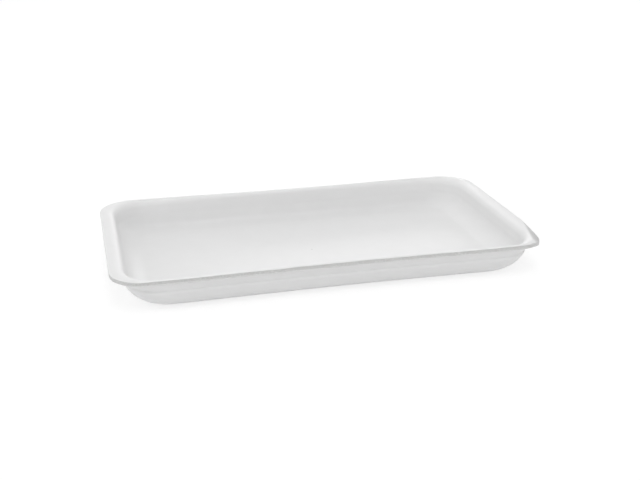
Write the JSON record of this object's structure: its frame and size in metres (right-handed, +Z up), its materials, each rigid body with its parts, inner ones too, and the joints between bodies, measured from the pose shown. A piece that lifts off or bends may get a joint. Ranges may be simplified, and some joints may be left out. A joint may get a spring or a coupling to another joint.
{
  "type": "foam meat tray",
  "caption": "White foam meat tray: a shallow rounded rectangle with steep walls, a large floor radius and a flat rim flange that is wide at both ends.",
  "frame": {"origin": "middle of the flat underside, on the surface the tray stands on", "axes": "+X along the tray's length, +Y across its width, +Z up through the open top"},
  "size_m": [0.375, 0.203, 0.031],
  "materials": {
    "foam": "thermoformed foam skin, soft sheen"
  },
  "bodies": {
    "root": {"tray": "foam"}
  },
  "joints": []
}
